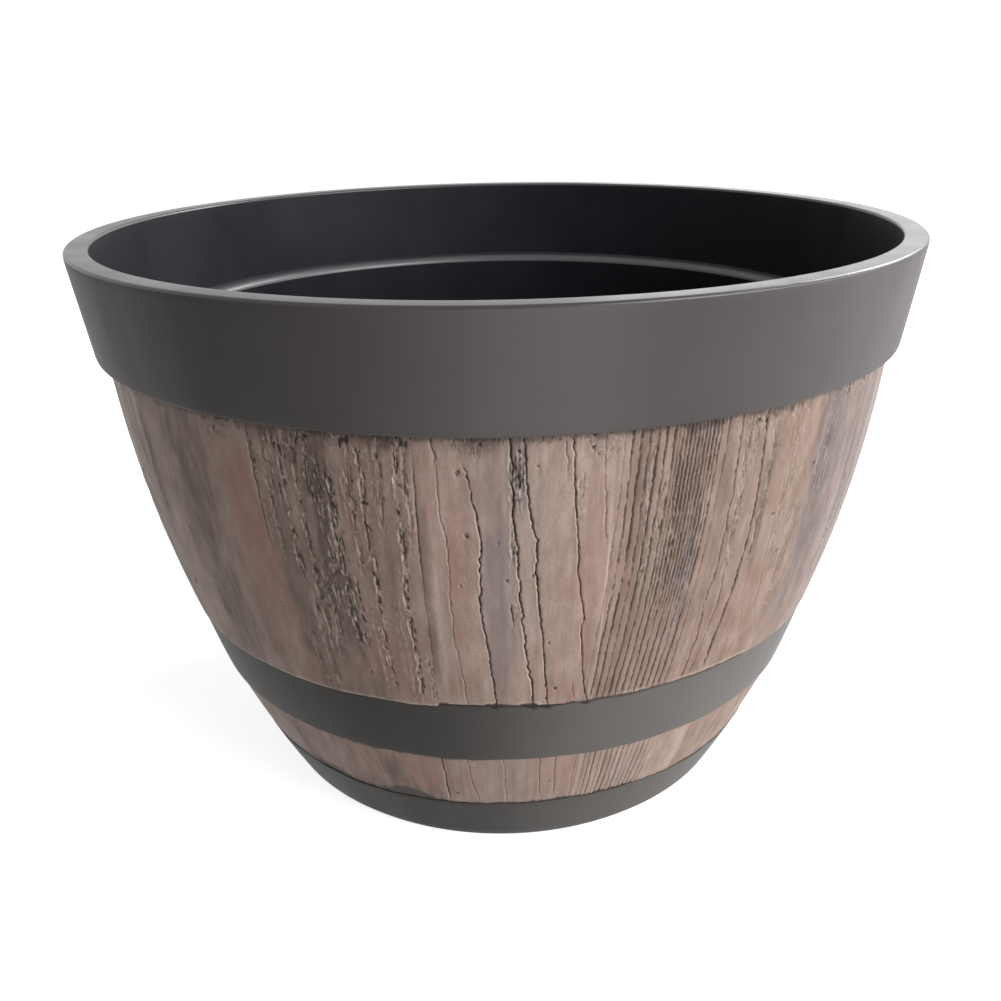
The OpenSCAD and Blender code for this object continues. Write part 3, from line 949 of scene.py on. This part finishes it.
def paint_lip(pot, side, top, ledge):
    """Gives the lip's side and top and the ledge their own materials; the side gets the band's painted
    sheen, and the ledge's paler plastic is a painted highlight.
    """
    # The lip's side gets the rim band's painted sheen
    paint(pot, "painted_sheen", band_painted_sheen(angle_and_height(pot)[0]))
    for material in (side, top, ledge):
        pot.data.materials.append(material)
    for face in pot.data.polygons:
        r = math.hypot(face.center.x, face.center.y) / MM
        z = face.center.z / MM
        if z > LIP_LOW_Z - 0.1 and r > RIM_R - LIP_W + 0.3:
            face.material_index = 2 if z > HEIGHT - LIP_EDGE - 0.2 else 1
        elif z > HEIGHT - 1 and r > RIM_R - LIP_W - 0.3:
            face.material_index = 2
        elif LEDGE_Z - 6 < z < LEDGE_Z + 0.5 and r < mouth_r(LEDGE_Z) + 0.3:
            face.material_index = 3


def plug_piece(k, x, y):
    """Rubber stopper with a head in the floor's recess, a stem and a pull knob."""
    stem_r = DRAIN_R - PLUG_FIT
    head_top = HEAD_SEAT_Z + PLUG_HEAD_T
    knob_top = head_top + KNOB_H
    r, z = profile_columns([
        (PLUG_CENTRE_GAP, PLUG_TIP_Z, 0), (stem_r - 1.2, PLUG_TIP_Z, 0.4), (stem_r, PLUG_TIP_Z + 1.2, 0.4),
        (stem_r, HEAD_SEAT_Z, 0), (PLUG_HEAD_R, HEAD_SEAT_Z, 0.3), (PLUG_HEAD_R, head_top - 0.75, 0.4),
        (PLUG_HEAD_R - 0.75, head_top, 0.4), (KNOB_R, head_top, 0.5), (KNOB_R - 0.9, head_top + 2.6, 1),
        (KNOB_R, knob_top - 1.6, 1), (KNOB_R - 1.4, knob_top, 1), (PLUG_CENTRE_GAP, knob_top, 0),
    ], 1.5, steps=3)
    plug = turned(f"plug_{k}_rubber", r, z, even_angles(PLUG_COLUMNS), strips=1)
    close_centre(plug, PLUG_CENTRE_GAP, (PLUG_TIP_Z, knob_top))
    plug.data.transform(Matrix.Translation((x * MM, y * MM, 0)))
    return plug


# Materials


def add_node(tree, kind, inputs, **settings):
    """A new node with these settings, and numbers, colours or other nodes' outputs on its inputs."""
    node = tree.nodes.new("ShaderNode" + kind)
    for name, value in settings.items():
        setattr(node, name, value)
    for name, value in inputs.items():
        if isinstance(value, (int, float, tuple)):
            node.inputs[name].default_value = value
        else:
            tree.links.new(value, node.inputs[name])
    return node


def new_material(name):
    """A new material and its empty node tree."""
    material = bpy.data.materials.new(name)
    material.use_nodes = True
    material.node_tree.nodes.clear()
    return material, material.node_tree


def add_shader(tree, inputs):
    """Ends a material's tree with a shader that has these inputs."""
    shader = add_node(tree, "BsdfPrincipled", inputs)
    add_node(tree, "OutputMaterial", {"Surface": shader.outputs["BSDF"]})


def colour(*screen):
    """A colour given by its 0 to 255 screen values."""
    parts = (value / 255 for value in screen)
    return *(p / 12.92 if p <= 0.04045 else ((p + 0.055) / 1.055) ** 2.4 for p in parts), 1


def noise_node(vector, scale, detail, roughness):
    inputs = {"Vector": vector, "Scale": scale, "Detail": detail, "Roughness": roughness}
    return add_node(vector.id_data, "TexNoise", inputs).outputs["Fac"]


def map_range(value, from_min, from_max, to_min, to_max):
    inputs = {"Value": value, "From Min": from_min, "From Max": from_max, "To Min": to_min, "To Max": to_max}
    return add_node(value.id_data, "MapRange", inputs).outputs["Result"]


def over_noise(value, to_min, to_max):
    """Maps the usual range of a noise, 0.3 to 0.7, onto another."""
    return map_range(value, 0.3, 0.7, to_min, to_max)


def math_node(operation, first, second):
    node = add_node(first.id_data, "Math", {0: first, 1: second}, operation=operation)
    return node.outputs["Value"]


def times(first, second):
    return math_node("MULTIPLY", first, second)


def plus(first, second):
    return math_node("ADD", first, second)


def mix_colour(share, first, second):
    node = add_node(share.id_data, "Mix", {0: share, 6: first, 7: second}, data_type="RGBA")
    return node.outputs[2]


def vector_node(operation, inputs):
    return add_node(inputs[0].id_data, "VectorMath", inputs, operation=operation).outputs["Vector"]


def attribute(tree, name):
    return add_node(tree, "Attribute", {}, attribute_name=name).outputs["Fac"]


def object_position(tree):
    return tree.nodes.new("ShaderNodeTexCoord").outputs["Object"]


# Radius in metres at which the grain's scale round the barrel is true
GRAIN_R = 0.17


def grain_noise(tree, across, along, detail, roughness):
    """Noise in streaks up the wall: across per metre round the barrel, along per metre up it."""
    place = object_position(tree)
    flat = vector_node("MULTIPLY", {0: place, 1: (1, 1, 0)})
    spoke = vector_node("NORMALIZE", {0: flat})
    wide = vector_node("SCALE", {0: spoke, "Scale": across * GRAIN_R})
    place = vector_node("MULTIPLY_ADD", {0: place, 1: (0, 0, along), 2: wide})
    return noise_node(place, 1, detail, roughness)


def bump(height, distance):
    inputs = {"Height": height, "Distance": distance, "Strength": 0.6}
    return add_node(height.id_data, "Bump", inputs).outputs["Normal"]


TAN = colour(184, 162, 152)
BROWN = colour(126, 102, 89)
OLIVE = colour(146, 132, 116)
RED = colour(158, 114, 104)
SLATE = colour(124, 117, 120)
UMBER = colour(84, 70, 62)
GROOVE = colour(68, 55, 50)
# Dark paint of the carving, also used for the painted shadow along the hoop
CRACK_DARK_AND_SHADOW = colour(50, 41, 38)
# Colour of the paint bleed, also used for painted shadow under the rim band
BLEED_AND_SHADE = colour(54, 48, 46)
# Pale flecks, also used for painted highlights
PALE_FLECK_AND_HIGHLIGHT = colour(218, 204, 190)
# Painted glint
PAINTED_GLINT = colour(240, 230, 216)


def wood_material():
    """Moulded wood: pale and brown mottling, stains, dark paint left in the carving, painted highlights and
    glints on raised edges, and painted shadow along the bands.
    """
    material, tree = new_material("wood_effect")
    dark, light, rib, worn, umber, red, slate, bleed_and_shade, tone = (attribute(tree, name) for name in WALL_MARKS)
    streaks = grain_noise(tree, 140, 60, 4, 0.6)
    patches = grain_noise(tree, 70, 22, 3, 0.55)
    fine = grain_noise(tree, 1500, 500, 2, 0.6)
    skin = grain_noise(tree, 1100, 700, 3, 0.65)
    ragged = over_noise(fine, -0.22, 0.22)
    tone = plus(map_range(tone, -1, 1, 0.05, 0.95), over_noise(streaks, -0.17, 0.17))
    face = mix_colour(tone, BROWN, TAN)

    # Coats over the wood's own colour, from the first to the last: paint and stains, pale flecks, painted
    # highlights and glints, and painted shadow
    for share, coat in (
        (map_range(patches, 0.52, 0.72, 0, 0.35), OLIVE),
        (times(red, 0.62), RED),
        (times(slate, 0.8), SLATE),
        (times(umber, over_noise(streaks, 1, 0.7)), UMBER),
        (times(worn, 0.35), UMBER),
        (times(worn, map_range(fine, 0.4, 0.3, 0, 0.8)), CRACK_DARK_AND_SHADOW),
        (times(worn, map_range(fine, 0.62, 0.72, 0, 0.6)), PALE_FLECK_AND_HIGHLIGHT),
        (map_range(skin, 0.3, 0.45, 0.3, 0), BROWN),
        (map_range(skin, 0.6, 0.75, 0, 0.25), PALE_FLECK_AND_HIGHLIGHT),
        # Painted highlights on raised crests and edges
        (times(light, 0.45), PALE_FLECK_AND_HIGHLIGHT),
        # Painted glints on the brightest crests
        (map_range(plus(light, ragged), 0.78, 1.02, 0, 0.75), PAINTED_GLINT),
        (map_range(plus(rib, ragged), 0.16, 0.66, 0, 0.88), GROOVE),
        # Paint bleed and painted shadow along the bands
        (map_range(plus(bleed_and_shade, ragged), 0.2, 0.7, 0, 0.95), BLEED_AND_SHADE),
        (map_range(plus(dark, ragged), 0.3, 0.75, 0, 1), CRACK_DARK_AND_SHADOW),
    ):
        face = mix_colour(share, face, coat)
    add_shader(tree, {
        "Base Color": face, "Roughness": over_noise(streaks, 0.6, 0.5), "Specular IOR Level": 0.22,
        "Normal": bump(plus(skin, times(worn, fine)), 0.00025),
    })
    return material


def satin_material(name, base, dark, low_rough, high_rough, shine, texture=0.00004, painted_sheen=None, painted_seam_shadow=False):
    """Smooth moulded plastic: clouding, painted sheen, fine skin, uneven gloss and the hoop's painted shadow
    line.
    """
    material, tree = new_material(name)
    place = object_position(tree)
    clouds = noise_node(place, 14, 3, 0.55)
    skin = noise_node(place, 2600, 2, 0.6)
    rubs = grain_noise(tree, 40, 9, 3, 0.6)
    face = mix_colour(over_noise(clouds, 0, 1), colour(*base), colour(*dark))
    # Painted sheen: a paler colour where the piece is lit most, and none where it is shaded
    if painted_sheen:
        share = times(attribute(tree, "painted_sheen"), over_noise(clouds, 1, 0.85))
        face = mix_colour(share, face, colour(*painted_sheen))
    # Painted shadow line along the hoop's upper edge
    if painted_seam_shadow:
        face = mix_colour(attribute(tree, "painted_seam_shadow"), face, CRACK_DARK_AND_SHADOW)
    gloss = plus(over_noise(rubs, low_rough, high_rough), over_noise(skin, -0.03, 0.03))
    add_shader(tree, {
        "Base Color": face, "Roughness": gloss, "Specular IOR Level": shine,
        "Normal": bump(skin, texture),
    })
    return material


def give(piece, material, body, slot, *nodes):
    """Dresses a piece, fixes it to a body and hides the nodes it stands in for."""
    piece.data.materials.clear()
    piece.data.materials.append(material)
    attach(piece, body)
    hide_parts(*nodes)


# The last colour given to each band is its painted sheen
band_plastic = satin_material("band_plastic", (69, 65, 65), (62, 58, 58), 0.48, 0.58, 0.16,
                              painted_sheen=(98, 92, 92))
hoop_plastic = satin_material("hoop_plastic", (62, 60, 58), (57, 55, 53), 0.46, 0.54, 0.1,
                              painted_sheen=(102, 98, 96), painted_seam_shadow=True)
base_plastic = satin_material("base_plastic", (56, 53, 51), (51, 48, 46), 0.46, 0.54, 0.1,
                              painted_sheen=(88, 85, 82))
lip_plastic = satin_material("lip_plastic", (58, 54, 54), (52, 48, 48), 0.26, 0.36, 0.5)
# The ledge is the pot's black plastic made paler, as a painted highlight where light catches it
ledge_painted_highlight = satin_material("ledge_painted_highlight", (46, 47, 51), (41, 42, 46), 0.36, 0.46, 0.9)
pot_plastic = satin_material("pot_plastic", (37, 39, 43), (21, 23, 27), 0.44, 0.6, 0.07)
plug_rubber = satin_material("plug_rubber", (44, 44, 45), (36, 36, 37), 0.6, 0.72, 0.3, 0.00008)

give(wood_wall(), wood_material(), "planter", "wood_effect_plastic", "barrel_shell")
give(rim_band_piece(), band_plastic, "planter", "band_plastic", "rim_band")
give(middle_hoop_piece(), hoop_plastic, "planter", "band_plastic", "middle_hoop")
give(base_ring_piece(), base_plastic, "planter", "band_plastic", "base_ring")
pot = pot_piece()
give(pot, pot_plastic, "planter", "black_plastic", "inner_pot")
paint_lip(pot, band_plastic, lip_plastic, ledge_painted_highlight)
for number, plug_x, plug_y in drain_places():
    plug = plug_piece(number, plug_x, plug_y)
    give(plug, plug_rubber, f"plug_{number}", "plug_rubber", f"drain_plug_{number}")

# Floor, backdrop and lamps

WHITE = (1, 1, 1, 1)
FLOOR_GREY = (0.72, 0.72, 0.72, 1)

# Half the floor's width and how far off the lamps are, in metres
FLOOR_HALF = 6
LAMP_DISTANCE = 2

# Strength of the even light from all round
FILL = 0.14


def seen_directly(tree):
    """1 for what the camera sees, in gloss and through clear parts too, and 0 for the object's light."""
    path = tree.nodes.new("ShaderNodeLightPath")
    seen = math_node("MAXIMUM", path.outputs["Is Camera Ray"], path.outputs["Is Glossy Ray"])
    return math_node("MAXIMUM", seen, path.outputs["Is Transmission Ray"])


def pale_floor():
    mesh = bpy.data.meshes.new("floor")
    square = ((-1, -1), (1, -1), (1, 1), (-1, 1))
    mesh.from_pydata([(x * FLOOR_HALF, y * FLOOR_HALF, 0) for x, y in square], [], [(0, 1, 2, 3)])
    material, tree = new_material("floor")
    add_shader(tree, {
        "Base Color": FLOOR_GREY, "Roughness": 0.9, "Specular IOR Level": 0.1,
        "Emission Color": WHITE, "Emission Strength": times(seen_directly(tree), 0.86),
    })
    mesh.materials.append(material)
    floor = placed("floor", mesh)


def white_world():
    world = bpy.data.worlds.new("studio")
    bpy.context.scene.world = world
    world.use_nodes = True
    tree = world.node_tree
    tree.nodes.clear()
    strength = map_range(seen_directly(tree), 0, 1, FILL, 1)
    background = add_node(tree, "Background", {"Color": WHITE, "Strength": strength})
    add_node(tree, "OutputWorld", {"Surface": background.outputs["Background"]})


def softbox(name, turn, rise, width, watts):
    """Square soft lamp, turn degrees round the planter and rise degrees up, that faces its middle."""
    aim = Vector((0, 0, HEIGHT / 2 * MM))
    turn = math.radians(turn)
    rise = math.radians(rise)
    way = Vector((math.cos(rise) * math.cos(turn), math.cos(rise) * math.sin(turn), math.sin(rise)))
    lamp = bpy.data.lights.new(name, "AREA")
    lamp.size = width
    lamp.energy = watts
    box = placed(name, lamp)
    box.location = aim + way * LAMP_DISTANCE
    box.rotation_euler = (-way).to_track_quat("-Z", "Y").to_euler()


pale_floor()
white_world()
softbox("key", -40, 28, 1.3, 35)
softbox("rim", 35, 33, 0.9, 26)
softbox("back", 70, 20, 0.9, 2.6)
softbox("side", -8, 4, 1.3, 22)

# Camera

LENS = 36.66
SENSOR_W = 36
CAMERA_AT = (0, -0.4919, 0.3243)
CAMERA_TURN = math.radians(-0.02)
CAMERA_DOWN = math.radians(22.65)
CAMERA_ROLL = math.radians(-1.07)


def photo_camera():
    lens = bpy.data.cameras.new("camera")
    lens.lens = LENS
    lens.sensor_width = SENSOR_W
    lens.clip_start = 0.01
    camera = placed("camera", lens)
    turn = Matrix.Rotation(-CAMERA_TURN, 4, "Z")
    tilt = Matrix.Rotation(math.pi / 2 - CAMERA_DOWN, 4, "X")
    roll = Matrix.Rotation(CAMERA_ROLL, 4, "Z")
    camera.matrix_world = Matrix.Translation(CAMERA_AT) @ turn @ tilt @ roll
    bpy.context.scene.camera = camera


photo_camera()
bpy.context.scene.view_settings.view_transform = "Standard"
